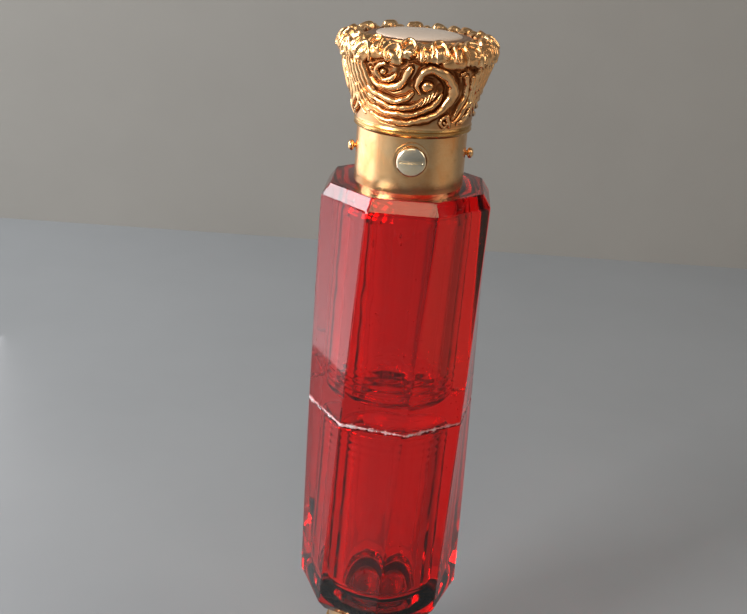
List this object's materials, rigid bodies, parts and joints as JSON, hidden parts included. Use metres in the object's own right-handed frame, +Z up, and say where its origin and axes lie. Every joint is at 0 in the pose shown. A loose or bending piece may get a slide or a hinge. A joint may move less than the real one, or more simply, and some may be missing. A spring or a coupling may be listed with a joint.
{
  "type": "double-ended scent bottle",
  "caption": "Double-ended ruby glass scent bottle with twisted facets, a hinged embossed gilt lid with push-button catch, and a screw cap it stands on.",
  "frame": {"origin": "centre of the foot, on the surface the bottle stands on", "axes": "+Z up along the bottle's axis; the push button faces -Y and the lid's hinge is on the +Y side; +X to the right seen from the button side"},
  "size_m": [0.027, 0.027, 0.1175],
  "materials": {
    "ruby_glass": "polished, cut facets with fine bubbles and scratches",
    "clear_cement": "dried clear cement with small bubbles",
    "lime_cement": "rough plaster",
    "gilt": "gilt, polished, worn on the high points",
    "gilt_dark": "gilt, darkened in the recesses",
    "steel": "dull, lightly tarnished",
    "cork": "pressed cork, matte",
    "cabochon": "smooth, slightly domed",
    "foot_plate": "brushed gilt"
  },
  "bodies": {
    "bottle": {"glass_upper": "ruby_glass", "glass_lower": "ruby_glass", "joint_cement": "clear_cement", "upper_neck_cement": "lime_cement", "lower_neck_cement": "lime_cement", "upper_collar": "gilt", "mouth_ring": "gilt", "latch_spring": "steel", "spring_rivets": "gilt", "button_bezel": "gilt", "hinge_leaf_lower": "gilt", "hinge_pin": "steel", "lower_collar": "gilt", "thread_sleeve": "gilt"},
    "catch_button": {"push_button": "gilt", "latch_hook": "steel"},
    "lid": {"hinge_leaf_upper": "gilt", "cap_shell": "gilt", "cap_rim_ring": "gilt_dark", "cap_liner": "gilt", "seal_plate": "steel", "seal_cork": "cork", "top_bezel": "gilt_dark", "top_disc": "cabochon"},
    "lower_seal": {"screw_seal_cork": "cork", "screw_seal_plate": "steel"},
    "screw_cap": {"screw_cap_shell": "gilt", "screw_cap_ring": "gilt_dark", "screw_cap_liner": "gilt", "foot_bezel": "gilt_dark", "foot_disc": "foot_plate"}
  },
  "joints": [
    {"name": "lid_hinge", "type": "hinge", "parent": "bottle", "child": "lid", "pos_m": [0, 0.00935, 0.1036], "axis": [-1, 0, 0], "range_deg": [0, 110]},
    {"name": "button_press", "type": "slide", "parent": "bottle", "child": "catch_button", "axis": [0, 1, 0], "range_m": [0, 0.0005], "stiffness_N_per_m": 300},
    {"name": "seal_slide", "type": "slide", "parent": "bottle", "child": "lower_seal", "axis": [0, 0, -1], "range_m": [0, 0.0045]},
    {"name": "screw_cap_turn", "type": "hinge", "parent": "lower_seal", "child": "screw_cap", "pos_m": [0, 0, 0.014], "axis": [0, 0, -1], "range_deg": [0, 1080]}
  ],
  "couplings": [
    {"joint": "screw_cap_turn", "follows": "seal_slide", "rad_per_m": 4188.8}
  ]
}
